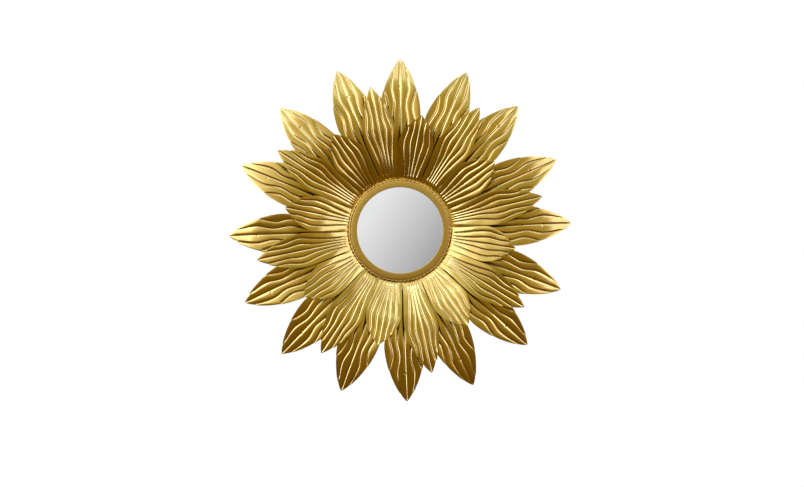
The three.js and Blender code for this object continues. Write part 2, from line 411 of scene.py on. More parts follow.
@dataclass(frozen=True)
class AgedGold:
    """Gold lacquer over metal: satin and mottled, with painted shade that darkens the hollows.

    Attributes:
        name: The material's name.
        bright: Colour of the clean lacquer.
        warm: Colour of its redder patches.
        hollow: Colour of the painted shade in the hollows.
        olive: Colour of the streaks that run along a sheet.
        roughness: Lowest and highest roughness of the clean lacquer.
        coat: Weight of the clear coat.
        underside: Colour of the dark primer on the back of a sheet.
        hollow_attribute: Mesh attribute that is 1 in the hollows, where shade is painted, or an empty name.
        underside_attribute: Mesh attribute that is 1 on the back of a sheet, or an empty name.
        grain_attribute: Mesh attribute with the place on the sheet, or an empty name.
    """

    name: str
    bright: Colour = (0.74, 0.53, 0.135)
    warm: Colour = (0.69, 0.455, 0.097)
    hollow: Colour = (0.30, 0.17, 0.04)
    olive: Colour = (0.50, 0.415, 0.088)
    roughness: Range = (0.13, 0.19)
    coat: float = 0.8
    underside: Colour = (0.13, 0.075, 0.025)
    hollow_attribute: str = ""
    underside_attribute: str = ""
    grain_attribute: str = ""

    # Of each pattern: its features a metre and octaves, where in it one look turns into the
    # next, and how much of the second look shows, or what it adds, at those two places
    patch_scale = 28.0
    patch_detail = 4.0
    patch_edges = (0.38, 0.66)
    fine_scale = 900.0
    fine_detail = 3.0
    fine_height = 0.008 * MM
    streak_stretch = (190.0, 14.0, 1.0)
    streak_detail = 3.0
    streak_edges = (0.42, 0.66)
    streak_shares = (0.0, 0.7)
    streak_roughness = (-0.03, 0.04)
    streak_height = 0.02 * MM
    bump_strength = 0.5
    # Painted shade in the hollows: the depths where it sets in and how much of its colour shows; then the
    # dulling there
    shade_edges = (0.7, 1.0)
    shade_shares = (0.0, 0.5)
    dull_edges = (0.6, 1.0)
    dull_roughness = (0.0, 0.08)
    primer_roughness = (0.0, 0.35)
    coat_roughness = 0.12
    coat_ior = 1.7

    def make(self) -> bpy.types.Material:
        """Builds the material.

        Returns:
            The material.
        """
        bench = FinishBench(self.name)
        place = bench.place()
        patches = bench.noise(place, self.patch_scale, self.patch_detail)
        colour = bench.blend(bench.ramp(patches, self.patch_edges), self.bright, self.warm)
        rough = bench.ramp(patches, NOISE_SPAN, self.roughness)
        fine = bench.noise(place, self.fine_scale, self.fine_detail)
        normal = bench.bump(fine, self.fine_height, self.bump_strength)
        if self.grain_attribute:
            stretch = bench.node("ShaderNodeMapping")
            stretch.inputs["Scale"].default_value = self.streak_stretch
            bench.link(bench.attribute(self.grain_attribute, "Vector"), stretch.inputs["Vector"])
            streaks = bench.noise(stretch.outputs["Vector"], 1.0, self.streak_detail)
            shown = bench.ramp(streaks, self.streak_edges, self.streak_shares)
            colour = bench.blend(shown, colour, self.olive)
            rough = bench.math("ADD", rough, bench.ramp(streaks, NOISE_SPAN, self.streak_roughness))
            normal = bench.bump(streaks, self.streak_height, self.bump_strength, normal)
        if self.hollow_attribute:
            # Painted shade: the hollows are darkened towards the hollow colour, and made duller
            depth = bench.attribute(self.hollow_attribute)
            painted_shade = bench.ramp(depth, self.shade_edges, self.shade_shares)
            colour = bench.blend(painted_shade, colour, self.hollow)
            rough = bench.math("ADD", rough, bench.ramp(depth, self.dull_edges, self.dull_roughness))
        if self.underside_attribute:
            back = bench.attribute(self.underside_attribute)
            colour = bench.blend(back, colour, self.underside)
            rough = bench.math("ADD", rough, bench.ramp(back, (0.0, 1.0), self.primer_roughness))
        bench.link(colour, bench.shader.inputs["Base Color"])
        bench.link(rough, bench.shader.inputs["Roughness"])
        bench.link(normal, bench.shader.inputs["Normal"])
        bench.shader.inputs["Metallic"].default_value = 1.0
        bench.shader.inputs["Coat Weight"].default_value = self.coat
        bench.shader.inputs["Coat Roughness"].default_value = self.coat_roughness
        bench.shader.inputs["Coat IOR"].default_value = self.coat_ior
        return bench.material


@dataclass(frozen=True)
class Silvering:
    """The silvered glass.

    Attributes:
        name: The material's name.
        tint: Colour of its reflection.
        cool_tint: Colour of the patches where the silver is a little cooler.
        roughness: Its roughness.
    """

    name: str = "silvered_glass"
    tint: Colour = (0.90, 0.905, 0.91)
    cool_tint: Colour = (0.8, 0.82, 0.84)
    roughness: float = 0.015

    patch_scale = 14.0
    patch_detail = 1.0
    cool_shares = (0.0, 0.05)

    def make(self) -> bpy.types.Material:
        """Builds the material.

        Returns:
            The material.
        """
        bench = FinishBench(self.name)
        patches = bench.noise(bench.place(), self.patch_scale, self.patch_detail)
        colour = bench.blend(bench.ramp(patches, NOISE_SPAN, self.cool_shares), self.tint, self.cool_tint)
        bench.link(colour, bench.shader.inputs["Base Color"])
        bench.shader.inputs["Metallic"].default_value = 1.0
        bench.shader.inputs["Roughness"].default_value = self.roughness
        return bench.material


@dataclass(frozen=True)
class PaintedStock:
    """Plain painted board or steel behind the petals.

    Attributes:
        name: The material's name.
        colour: Colour of the paint.
        worn: Colour of its rubbed patches.
        roughness: Lowest and highest roughness.
        metallic: 1 for bare-looking metal paint, 0 for board.
    """

    name: str
    colour: Colour
    worn: Colour
    roughness: Range = (0.55, 0.8)
    metallic: float = 0.0

    patch_scale = 22.0
    patch_detail = 5.0
    patch_edges = (0.5, 0.75)
    grain_scale = 700.0
    grain_detail = 4.0
    grain_height = 0.08 * MM
    grain_strength = 0.6

    def make(self) -> bpy.types.Material:
        """Builds the material.

        Returns:
            The material.
        """
        bench = FinishBench(self.name)
        place = bench.place()
        patches = bench.noise(place, self.patch_scale, self.patch_detail)
        colour = bench.blend(bench.ramp(patches, self.patch_edges), self.colour, self.worn)
        grain = bench.noise(place, self.grain_scale, self.grain_detail)
        normal = bench.bump(grain, self.grain_height, self.grain_strength)
        bench.link(colour, bench.shader.inputs["Base Color"])
        bench.link(bench.ramp(grain, NOISE_SPAN, self.roughness), bench.shader.inputs["Roughness"])
        bench.link(normal, bench.shader.inputs["Normal"])
        bench.shader.inputs["Metallic"].default_value = self.metallic
        return bench.material


# Petals


@dataclass(frozen=True)
class Vein:
    """One groove of a petal, mirrored on the other side of the midline.

    Attributes:
        leaves: Share of the petal's length where the groove runs out through the edge.
        path: Pairs of along and across, the latter as a share of the belly's half width.
    """

    leaves: float
    path: tuple[tuple[float, float], ...]


@dataclass(frozen=True)
class PetalPattern:
    """The die of one kind of petal.

    Attributes:
        name: Name of its nodes, without the number.
        tip_radius: Radius of the tip.
        bend_radius: Radius where the sheet bends up from its root tab.
        tab_radius: Radius of the tab's inner end.
        tab_lift: Lift of the tab's front.
        root_half_width: Half the width at the bend.
        tab_half_width: Half the width of the tab's inner end.
        belly_half_width: Half the width at the belly, the widest place.
        belly: Where the belly lies along the petal.
        fullness: How round the sides run from the belly to the tip.
        bluntness: How blunt the tip is, from 1 for a sharp point down.
        root_slope: Slope at the bend, in degrees, rising towards the front.
        tip_slope: Slope at the tip.
        cup: How far the sides stand forward of the midline at the belly.
        near_vein: The grooves next to the middle one.
        far_vein: The outer grooves.
        notch: Depth of the nick in the edge where a groove leaves.
        bulge: How far each strip's end swells out below the nick.
        dents: Along and depth of the small dents near the midline.
        first_bearing: Bearing of the first petal, in degrees from +X towards +Z.
        leans: How far each petal is turned from even spacing, in degrees.
    """

    name: str
    tip_radius: float
    bend_radius: float
    tab_radius: float
    tab_lift: float
    root_half_width: float
    tab_half_width: float
    belly_half_width: float
    belly: float
    fullness: float
    bluntness: float
    root_slope: float
    tip_slope: float
    cup: float
    near_vein: Vein
    far_vein: Vein
    notch: float
    bulge: float
    dents: tuple[tuple[float, float], ...]
    first_bearing: float
    leans: tuple[float, ...]

    groove_half_width = 1.8 * MM
    groove_depth = 0.98 * MM
    groove_run_in = 0.09
    crown_drop = 0.6 * MM
    crown_width = 12.0 * MM
    cup_run_in = 0.2
    swell_power = 1.5
    notch_reach = 7.0 * MM
    notch_lead = 0.3
    point_from = 0.999

    @property
    def length(self) -> float:
        """Length from the bend to the tip, measured flat."""
        return self.tip_radius - self.bend_radius

    def half_width(self, along: np.ndarray) -> np.ndarray:
        """Half the width of the sheet, with the nicks where the grooves leave.

        Args:
            along: The places to read.

        Returns:
            The half widths there.
        """
        before = np.clip(along / self.belly, 0.0, 1.0)
        swell = 1 - (1 - before**self.swell_power) ** self.swell_power
        rising = self.root_half_width + (self.belly_half_width - self.root_half_width) * swell
        past = np.clip((along - self.belly) / (1 - self.belly), 0.0, 1.0)
        falling = self.belly_half_width * (1 - past**self.fullness) ** self.bluntness
        width = np.where(along < self.belly, rising, falling)
        for vein in (self.near_vein, self.far_vein):
            gone = (along - vein.leaves) * self.length
            reach = self.notch_reach * np.where(gone > 0, 1.0, self.notch_lead)
            nick = self.notch * np.exp(-np.abs(gone) / reach)
            behind = np.clip(-gone, 0.0, None) / self.notch_reach
            width = width - nick + self.bulge * behind * np.exp(1 - behind)
        return np.where(along > self.point_from, 0.0, np.maximum(width, 0.0))

    def vein_across(self, vein: Vein, along: np.ndarray) -> np.ndarray:
        """Where a groove lies across the sheet; past its end it lies on the edge.

        Args:
            vein: The groove.
            along: The places to read.

        Returns:
            Its distances from the midline.
        """
        edge = self.half_width(along)
        path = [(share, across * self.belly_half_width) for share, across in vein.path]
        path.append((vein.leaves, float(self.half_width(np.array([vein.leaves]))[0])))
        inside = np.minimum(through_points(path, np.minimum(along, vein.leaves)), edge)
        return np.where(along >= vein.leaves - TOLERANCE, edge, inside)

    def arch_lift(self, radius: np.ndarray) -> np.ndarray:
        """Lift of the front along the midline: a circular arc between the two slopes.

        Args:
            radius: The radii to read.

        Returns:
            The lifts there.
        """
        root_sine = math.sin(math.radians(self.root_slope))
        tip_sine = math.sin(math.radians(self.tip_slope))
        arc = self.length / (root_sine - tip_sine)
        sine = root_sine - np.clip(radius - self.bend_radius, 0.0, None) / arc
        return self.tab_lift + arc * (np.sqrt(1 - sine**2) - math.sqrt(1 - root_sine**2))


@dataclass(frozen=True)
class SheetGrid:
    """A petal's front as a grid of rows along it and columns across it.

    Attributes:
        across: Distance from the midline of each point.
        radius: Radius of each point.
        along: Share of the length of each point.
        sunk: How far the relief lies below the strips' crowns.
        faces: Corner lists of the closed sheet; the back's points follow the front's.
        used: Numbers of the grid points that the faces use.
    """

    across: np.ndarray
    radius: np.ndarray
    along: np.ndarray
    sunk: np.ndarray
    faces: list[list[int]]
    used: np.ndarray


class PetalDie:
    """Presses the petals of one pattern.

    The grid has even rows, and further ones where a groove leaves, over a dent and at the tip.
    Its columns keep to the midline, the grooves and the edge, with steps in between, which are
    shares of a groove's half width, of a strip or of the strip at the edge.
    """

    blade_rows = 92
    tab_rows = 3
    leaving_rows = (-0.012, -0.004, 0.0, 0.004, 0.012)
    dent_rows = np.linspace(-0.012, 0.012, 7)
    tip_rows = (0.984, 0.9935, 0.998)
    groove_steps = (0.5, 0.85, 1.0)
    strip_steps = (0.25, 0.5, 0.75)
    edge_steps = (0.2, 0.45, 0.7, 0.88)

    sheet = 1.0 * MM
    inset = 0.4 * MM
    sharp_degrees = 42.0

    # A groove narrows with its strip, fades out past its end and is shallower near the edge
    least_strip = 1e-9
    narrow_share = 0.42
    least_half_width = 0.2 * MM
    least_depth = 0.35
    fade_length = 2.5 * MM
    edge_depth = 0.25
    edge_reach = 9.0 * MM
    tip_fade = 5.0 * MM

    def __init__(self, pattern: PetalPattern) -> None:
        """Lays out the grid.

        Args:
            pattern: The pattern to press.
        """
        self.pattern = pattern
        self.grid = self._lay_out()

    def _rows(self) -> tuple[np.ndarray, np.ndarray, np.ndarray]:
        """Places the rows, from the tab's end to the tip.

        Returns:
            Each row's share of the length, its radius and the tab's narrowing there.
        """
        pattern = self.pattern
        even = np.linspace(0.0, 1.0, self.blade_rows)
        ends = [pattern.near_vein.leaves, pattern.far_vein.leaves]
        leaving = [end + step for end in ends for step in self.leaving_rows]
        dents = [along + step for along, _ in pattern.dents for step in self.dent_rows]
        along = np.unique(np.round(np.concatenate([even, leaving, dents, self.tip_rows]), 5))
        along = along[(along >= 0.0) & (along <= 1.0)]
        radius = pattern.bend_radius + along * pattern.length
        tab = np.linspace(pattern.tab_radius, pattern.bend_radius, self.tab_rows, endpoint=False)
        tab_share = (tab - pattern.tab_radius) / (pattern.bend_radius - pattern.tab_radius)
        narrow = pattern.tab_half_width / pattern.root_half_width
        narrowing = np.concatenate([narrow + (1 - narrow) * tab_share, np.ones_like(along)])
        return np.concatenate([np.zeros_like(tab), along]), np.concatenate([tab, radius]), narrowing

    def _strip(self, start: np.ndarray, end: np.ndarray, to_edge: bool) -> list[np.ndarray]:
        """Columns between two grooves, or between a groove and the edge.

        Args:
            start: Where the strip starts in each row.
            end: Where it ends.
            to_edge: True where it ends at the sheet's edge.

        Returns:
            The columns between the two.
        """
        width = end - start
        groove = np.minimum(self.pattern.groove_half_width, self.narrow_share * width)
        columns = [start + groove * step for step in self.groove_steps]
        if to_edge:
            free = width - groove
            return columns + [start + groove + free * step for step in self.edge_steps]
        free = width - 2 * groove
        columns += [start + groove + free * step for step in self.strip_steps]
        return columns + [end - groove * step for step in reversed(self.groove_steps)]

    def _relief(self, across: np.ndarray, along: np.ndarray, stops: list[np.ndarray]) -> np.ndarray:
        """How far the front lies below the strips' crowns.

        Args:
            across: Distance from the midline, for the right half's columns.
            along: Share of the length, for each row.
            stops: The midline, the two grooves and the edge in each row.

        Returns:
            The depth at each point.
        """
        pattern = self.pattern
        sunk = np.zeros_like(across)
        for start, end in zip(stops, stops[1:]):
            width = np.maximum(end - start, self.least_strip)[:, None]
            share = (across - start[:, None]) / width
            crown = pattern.crown_drop * np.clip(width / pattern.crown_width, 0.0, 1.0)
            within = (share >= -TOLERANCE) & (share <= 1 + TOLERANCE)
            sunk = np.where(within, np.maximum(sunk, crown * (2 * share - 1) ** 2), sunk)
        edge = stops[3]
        for order, leaves in ((0, 1.0), (1, pattern.near_vein.leaves), (2, pattern.far_vein.leaves)):
            line = stops[order]
            inner = stops[order - 1] if order else -stops[1]
            reach = np.minimum(line - inner, np.where(along < leaves, stops[order + 1] - line, 1.0))
            half = np.maximum(self.narrow_share * reach, self.least_half_width)
            half = np.minimum(pattern.groove_half_width, half)
            gone = np.clip((along - leaves) * pattern.length, 0.0, None)
            depth = pattern.groove_depth * np.exp(-gone / self.fade_length)
            depth = depth * np.clip(half / pattern.groove_half_width, self.least_depth, 1.0)
            if order:
                inwards = edge - line + gone
                depth = depth * np.clip(self.edge_depth + inwards / self.edge_reach, 0.0, 1.0)
            near = np.clip(1 - np.abs(across - line[:, None]) / half[:, None], 0.0, 1.0)
            sunk = sunk + depth[:, None] * near
        root = smooth_step(along, 0.0, pattern.groove_run_in)[:, None]
        return sunk * root * smooth_step(edge, 0.0, self.tip_fade)[:, None]

    def _lay_out(self) -> SheetGrid:
        """Works out the grid and its faces.

        Returns:
            The grid.
        """
        pattern = self.pattern
        along, radius, narrowing = self._rows()
        edge = pattern.half_width(along) * narrowing
        near = pattern.vein_across(pattern.near_vein, along) * narrowing
        far = pattern.vein_across(pattern.far_vein, along) * narrowing
        middle = np.zeros_like(edge)
        columns = [middle, *self._strip(middle, near, False), near]
        columns += [*self._strip(near, far, False), far]
        columns += [*self._strip(far, edge, True), edge]
        right = np.stack(columns, axis=1)
        sunk = self._relief(right, along, [middle, near, far, edge])
        across = np.concatenate([-right[:, :0:-1], right], axis=1)
        sunk = np.concatenate([sunk[:, :0:-1], sunk], axis=1)
        width = across.shape[1]
        faces, used = self._faces(across)
        return SheetGrid(
            across=across.ravel(),
            radius=np.repeat(radius, width),
            along=np.repeat(along, width),
            sunk=sunk.ravel(),
            faces=faces,
            used=used,
        )

    def _faces(self, across: np.ndarray) -> tuple[list[list[int]], np.ndarray]:
        """Joins the grid's points to a closed sheet; points that fall together become one.

        Args:
            across: The grid's distances from the midline.

        Returns:
            The faces, numbered over the used points with the back's after the front's, and
            the used points' numbers in the grid.
        """
        rows, width = across.shape
        same = np.zeros((rows, width), dtype=int)
        for row in range(rows):
            for column in range(width):
                joined = column and abs(across[row, column] - across[row, column - 1]) < TOLERANCE
                same[row, column] = same[row, column - 1] if joined else row * width + column
        used = np.unique(same)
        number = {int(point): place for place, point in enumerate(used)}
        label = np.vectorize(lambda point: number[int(point)])(same)
        back = len(used)
        faces = []
        for row in range(rows - 1):
            for column in range(width - 1):
                loop = [
                    int(label[row, column]),
                    int(label[row, column + 1]),
                    int(label[row + 1, column + 1]),
                    int(label[row + 1, column]),
                ]
                corners = list(dict.fromkeys(loop))
                if len(corners) > 2:
                    faces.append(corners)
                    faces.append([corner + back for corner in reversed(corners)])
        rim = [int(label[0, column]) for column in range(width)]
        rim += [int(label[row, width - 1]) for row in range(1, rows)]
        rim += [int(label[row, 0]) for row in range(rows - 2, 0, -1)]
        rim = list(dict.fromkeys(rim))
        for here, ahead in zip(rim, rim[1:] + rim[:1]):
            faces.append([ahead, here, here + back, ahead + back])
        return faces, used

    def press(self, index: int, material: bpy.types.Material) -> None:
        """Presses one petal in its place.

        Args:
            index: Its number in the layer, from 0.
            material: Its finish.
        """
        pattern = self.pattern
        grid = self.grid
        across = grid.across[grid.used]
        radius = grid.radius[grid.used]
        along = grid.along[grid.used]
        sunk = grid.sunk[grid.used]
        hand = HandWork(pattern, index)
        cup_share = smooth_step(along, 0.0, pattern.cup_run_in)
        cup = pattern.cup * cup_share * (across / pattern.belly_half_width) ** 2
        dents = hand.dents(across, along)
        lift = pattern.arch_lift(radius) - self.inset + cup - sunk - dents
        lift += hand.warp(across, along)
        even = pattern.first_bearing - index * 360.0 / len(pattern.leans)
        bearing = math.radians(even + pattern.leans[index])
        x = radius * math.cos(bearing) + across * math.sin(bearing)
        z = radius * math.sin(bearing) - across * math.cos(bearing)
        front = np.stack([x, -lift, z], axis=1)
        back = np.stack([x, -(lift - self.sheet), z], axis=1)
        node = f"{pattern.name}_{index + 1:02d}"
        mesh = bpy.data.meshes.new(f"pressed_{node}")
        mesh.from_pydata(np.concatenate([front, back]).tolist(), [], grid.faces)
        # Groove and dent depth, by which the finish paints shade into the hollows
        hollow = np.clip((sunk + dents) / pattern.groove_depth, 0.0, 1.0)
        place = np.stack([across, radius, np.full_like(across, hand.grain)], axis=1)
        mark(mesh, "hollow", "FLOAT", np.tile(hollow, 2))
        mark(mesh, "underside", "FLOAT", np.repeat([0.0, 1.0], len(across)))
        mark(mesh, "sheet_place", "FLOAT_VECTOR", np.tile(place, (2, 1)))
        mesh.materials.append(material)
        smooth_faces(mesh, self.sharp_degrees)
        declare(new_piece(f"pressed_{node}", mesh), Slot.PETAL_GOLD, node)

    def press_layer(self, material: bpy.types.Material) -> None:
        """Presses every petal of the layer.

        Args:
            material: Their finish.
        """
        for index in range(len(self.pattern.leans)):
            self.press(index, material)


class HandWork:
    """What differs from petal to petal: a slight twist, a slight set and shallow waves."""

    seed_step = 1000

    # Largest twist, set, wave and dent shift, and the shares of the length where they have grown
    twist_degrees = 1.1
    twist_run_in = 0.5
    set_degrees = 0.3
    set_run_in = 0.3
    wave_height = 0.6 * MM
    wave_number = 3
    wave_counts = (1.5, 3.5)
    wave_slant = 1.3
    grain_span = 50.0
    dent_radius = 2.1 * MM
    dent_shift = 2.5 * MM
    dent_shares = (0.5, 1.2)

    def __init__(self, pattern: PetalPattern, index: int) -> None:
        """Draws one petal's small differences from its own seed.

        Args:
            pattern: The petal's pattern.
            index: Its number in the layer.
        """
        draw = np.random.default_rng(self.seed_step * len(pattern.name) + index)
        dents = max(len(pattern.dents), 1)
        self.pattern = pattern
        self.twist = math.radians(draw.uniform(-self.twist_degrees, self.twist_degrees))
        self.set = math.radians(draw.uniform(-self.set_degrees, self.set_degrees))
        self.phases = draw.uniform(0.0, 2 * math.pi, self.wave_number)
        self.waves = draw.uniform(*self.wave_counts, self.wave_number)
        self.grain = float(draw.uniform(0.0, self.grain_span))
        self.dent_offset = draw.uniform(-self.dent_shift, self.dent_shift, dents)
        self.dent_share = draw.uniform(*self.dent_shares, dents)

    def warp(self, across: np.ndarray, along: np.ndarray) -> np.ndarray:
        """Lift that the petal gains from its own twist, set and waves.

        Args:
            across: Distance from the midline.
            along: Share of the length.

        Returns:
            The added lift.
        """
        pattern = self.pattern
        grown = smooth_step(along, 0.0, self.twist_run_in)
        turned = math.tan(self.twist) * across * grown
        tipped = math.tan(self.set) * along * pattern.length * smooth_step(along, 0.0, self.set_run_in)
        side = across / pattern.belly_half_width
        wave = np.zeros_like(across)
        for phase, count in zip(self.phases, self.waves):
            wave += np.sin(2 * math.pi * count * along + phase + self.wave_slant * side)
        return turned + tipped + self.wave_height * wave * grown / 2

    def dents(self, across: np.ndarray, along: np.ndarray) -> np.ndarray:
        """Depth of the small dents near the midline.

        Args:
            across: Distance from the midline.
            along: Share of the length.

        Returns:
            The depth.
        """
        depth = np.zeros_like(across)
        for number, (place, deep) in enumerate(self.pattern.dents):
            far_off = np.hypot(across - self.dent_offset[number], (along - place) * self.pattern.length)
            depth += deep * self.dent_share[number] * np.exp(-((far_off / self.dent_radius) ** 2))
        return depth


# Ring, rope, glass and what lies behind


@dataclass
class FrameRing:
    """The ring round the glass, turned with a nearly flat face and softened edges.

    Attributes:
        rim_round: Radius of the outer edge's rounding.
        lip_round: Radius of the inner edge's rounding.
        face_fall: How far the face falls from its inner to its outer edge.
        face_dome: How far the face bulges between the two.
        crown_drop: How far the inner edge stays behind the solid's front.
        glass_gap: Gap between the glass and the lip.
        rim_turn: How far round the outer edge's rounding goes before it meets the face.
        face_steps: Steps across the face.
        round_steps: Steps round each rounded edge.
        segments: Steps round the ring.
    """

    rim_round: float = 1.2 * MM
    lip_round: float = 0.8 * MM
    face_fall: float = 0.7 * MM
    face_dome: float = 0.25 * MM
    crown_drop: float = 0.1 * MM
    glass_gap: float = 0.3 * MM
    rim_turn: float = 80.0
    face_steps: int = 10
    round_steps: int = 5
    segments: int = 192

    sharp_degrees = 40.0

    def profile(self) -> list[tuple[float, float]]:
        """Outline of radius and lift, from the foot's inner edge round the back to the front.

        Returns:
            The closed outline.
        """
        low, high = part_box("frame_ring")
        outer, back = high.x, -high.y
        sight = outer - FRAME_WIDTH
        rebate = sight + REBATE_WIDTH
        crown = -low.y - self.crown_drop
        edge = crown - self.face_fall
        lip_back = -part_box("mirror_glass")[0].y + self.glass_gap
        points = [(rebate, back), (outer, back)]
        for step in range(self.round_steps + 1):
            turn = math.radians(self.rim_turn * step / self.round_steps)
            inwards, below = 1 - math.cos(turn), 1 - math.sin(turn)
            points.append((outer - self.rim_round * inwards, edge - self.rim_round * below))
        start = points[-1]
        crest = (sight + self.lip_round, crown)
        for step in range(1, self.face_steps + 1):
            share = step / self.face_steps
            radius = start[0] + (crest[0] - start[0]) * share
            lift = start[1] + (crest[1] - start[1]) * share
            points.append((radius, lift + self.face_dome * math.sin(math.pi * share)))
        for step in range(1, self.round_steps + 1):
            turn = math.pi / 2 * step / self.round_steps
            inwards, below = math.sin(turn), 1 - math.cos(turn)
            points.append((crest[0] - self.lip_round * inwards, crown - self.lip_round * below))
        return points + [(sight, lip_back), (rebate, lip_back)]

    def build(self, material: bpy.types.Material) -> None:
        """Builds the ring.

        Args:
            material: Its finish.
        """
        mesh = turned_mesh("turned_frame_ring", self.profile(), self.segments)
        mesh.materials.append(material)
        smooth_faces(mesh, self.sharp_degrees)
        declare(new_piece("turned_frame_ring", mesh), Slot.RING_GOLD, "frame_ring")


class TreeBench(Bench):
    """Adds and links the nodes of one Geometry Nodes tree."""

    weld_distance = 1e-7

    def __init__(self, name: str) -> None:
        """Makes the tree with its geometry output.

        Args:
            name: The tree's name.
        """
        super().__init__(bpy.data.node_groups.new(name, "GeometryNodeTree"))
        self.tree.interface.new_socket("Geometry", in_out="OUTPUT", socket_type="NodeSocketGeometry")
        self.inputs: dict[str, str] = {}
        self.source = self.node("NodeGroupInput")
        self.end = self.node("NodeGroupOutput")

    def named_input(self, name: str, kind: str = "NodeSocketFloat") -> Socket:
        """Adds a named input.

        Args:
            name: The input's name.
            kind: The type of its socket.

        Returns:
            The socket inside the tree.
        """
        made = self.tree.interface.new_socket(name, in_out="INPUT", socket_type=kind)
        self.inputs[name] = made.identifier
        return self.source.outputs[name]

    def close(self, geometry: Socket, material: Socket) -> None:
        """Ends the tree: instances are made real and the finish is set.

        Args:
            geometry: The geometry so far.
            material: The finish.
        """
        real = self.node("GeometryNodeRealizeInstances")
        painted = self.node("GeometryNodeSetMaterial")
        self.link(geometry, real.inputs["Geometry"])
        self.link(real.outputs["Geometry"], painted.inputs["Geometry"])
        self.link(material, painted.inputs["Material"])
        self.link(painted.outputs["Geometry"], self.end.inputs["Geometry"])

    def bake(self, name: str, values: dict[str, object]) -> bpy.types.Mesh:
        """Runs the tree and keeps its result as a plain mesh.

        Args:
            name: The mesh's name.
            values: The inputs' values by name.

        Returns:
            The mesh, with its faces outwards.
        """
        holder = new_piece(name + "_tree", bpy.data.meshes.new(name + "_seed"))
        modifier = holder.modifiers.new("tree", "NODES")
        modifier.node_group = self.tree
        for key, value in values.items():
            modifier[self.inputs[key]] = value
        graph = bpy.context.evaluated_depsgraph_get()
        mesh = bpy.data.meshes.new_from_object(holder.evaluated_get(graph))
        mesh.name = name
        holder.modifiers.remove(modifier)
        bpy.data.objects.remove(holder)
        shape = bmesh.new()
        shape.from_mesh(mesh)
        bmesh.ops.remove_doubles(shape, verts=shape.verts, dist=self.weld_distance)
        bmesh.ops.recalc_face_normals(shape, faces=shape.faces)
        shape.to_mesh(mesh)
        shape.free()
        return mesh


@dataclass
class RopeTrim:
    """The rope round the ring: strands laid round each other along a circle.

    Attributes:
        strands: Number of strands.
        turns: How often each strand winds round the rope's own axis.
        steps_per_turn: Points on a strand for each winding.
        sides: Sides of a strand's section.
        strand_share: Strand radius as a share of the rope's radius.
        hollow_edges: Distances from the rope's axis, as shares of its radius, that the painted
        shade in the hollows fades out over.
    """

    strands: int = 2
    turns: int = 38
    steps_per_turn: int = 14
    sides: int = 8
    strand_share: float = 0.54
    hollow_edges: Range = (0.35, 0.72)

    sharp_degrees = 60.0

    def tree(self) -> TreeBench:
        """Builds the tree that lays the strands, with its sizes as named inputs.

        Returns:
            The tree.
        """
        bench = TreeBench("laid_rope")
        ring = bench.named_input("Ring radius")
        lift = bench.named_input("Ring lift")
        offset = bench.named_input("Strand offset")
        thickness = bench.named_input("Strand radius")
        turns = bench.named_input("Turns")
        points = bench.named_input("Points", "NodeSocketInt")
        sides = bench.named_input("Sides", "NodeSocketInt")
        finish = bench.named_input("Finish", "NodeSocketMaterial")
        section = bench.node("GeometryNodeCurvePrimitiveCircle", mode="RADIUS")
        bench.link(sides, section.inputs["Resolution"])
        bench.link(thickness, section.inputs["Radius"])
        joined = bench.node("GeometryNodeJoinGeometry")
        for strand in range(self.strands):
            path = bench.node("GeometryNodeCurvePrimitiveCircle", mode="RADIUS")
            bench.link(points, path.inputs["Resolution"])
            share = bench.math("DIVIDE", bench.node("GeometryNodeInputIndex").outputs[0], points)
            bearing = bench.math("MULTIPLY", share, 2 * math.pi)
            wound = bench.math("MULTIPLY", bearing, turns)
            wound = bench.math("ADD", wound, 2 * math.pi * strand / self.strands)
            out = bench.math("ADD", ring, bench.math("MULTIPLY", offset, bench.math("COSINE", wound)))
            up = bench.math("ADD", lift, bench.math("MULTIPLY", offset, bench.math("SINE", wound)))
            place = bench.node("ShaderNodeCombineXYZ")
            bench.link(bench.math("MULTIPLY", out, bench.math("COSINE", bearing)), place.inputs["X"])
            bench.link(bench.math("MULTIPLY", up, -1.0), place.inputs["Y"])
            bench.link(bench.math("MULTIPLY", out, bench.math("SINE", bearing)), place.inputs["Z"])
            wind = bench.node("GeometryNodeSetPosition")
            bench.link(path.outputs["Curve"], wind.inputs["Geometry"])
            bench.link(place.outputs["Vector"], wind.inputs["Position"])
            sweep = bench.node("GeometryNodeCurveToMesh")
            bench.link(wind.outputs["Geometry"], sweep.inputs["Curve"])
            bench.link(section.outputs["Curve"], sweep.inputs["Profile Curve"])
            bench.link(sweep.outputs["Mesh"], joined.inputs["Geometry"])
        bench.close(joined.outputs["Geometry"], finish)
        return bench

    def build(self, material: bpy.types.Material) -> None:
        """Lays the rope.

        Args:
            material: Its finish.
        """
        low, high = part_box("rope_trim")
        rope_radius = (high.y - low.y) / 2
        ring, lift = high.x - rope_radius, -(low.y + high.y) / 2
        strand_radius = rope_radius * self.strand_share
        mesh = self.tree().bake("laid_rope_trim", {
            "Ring radius": ring,
            "Ring lift": lift,
            "Strand offset": rope_radius - strand_radius,
            "Strand radius": strand_radius,
            "Turns": float(self.turns),
            "Points": self.turns * self.steps_per_turn,
            "Sides": self.sides,
            "Finish": material,
        })
        self.mark_hollows(mesh, ring, lift, rope_radius)
        smooth_faces(mesh, self.sharp_degrees)
        declare(new_piece("laid_rope_trim", mesh), Slot.ROPE_GOLD, "rope_trim")

    def mark_hollows(self, mesh: bpy.types.Mesh, ring: float, lift: float, rope_radius: float) -> None:
        """Marks the hollows between the strands, where the finish paints shade, with an attribute that is 1
        at the rope's axis.

        Args:
            mesh: The laid rope.
            ring: Radius of the circle that the rope follows.
            lift: Its lift.
            rope_radius: The rope's own radius.
        """
        place = np.empty(3 * len(mesh.vertices))
        mesh.vertices.foreach_get("co", place)
        x, y, z = place.reshape(-1, 3).T
        far_off = np.hypot(np.hypot(x, z) - ring, -y - lift) / rope_radius
        mark(mesh, "hollow", "FLOAT", 1.0 - smooth_step(far_off, *self.hollow_edges))


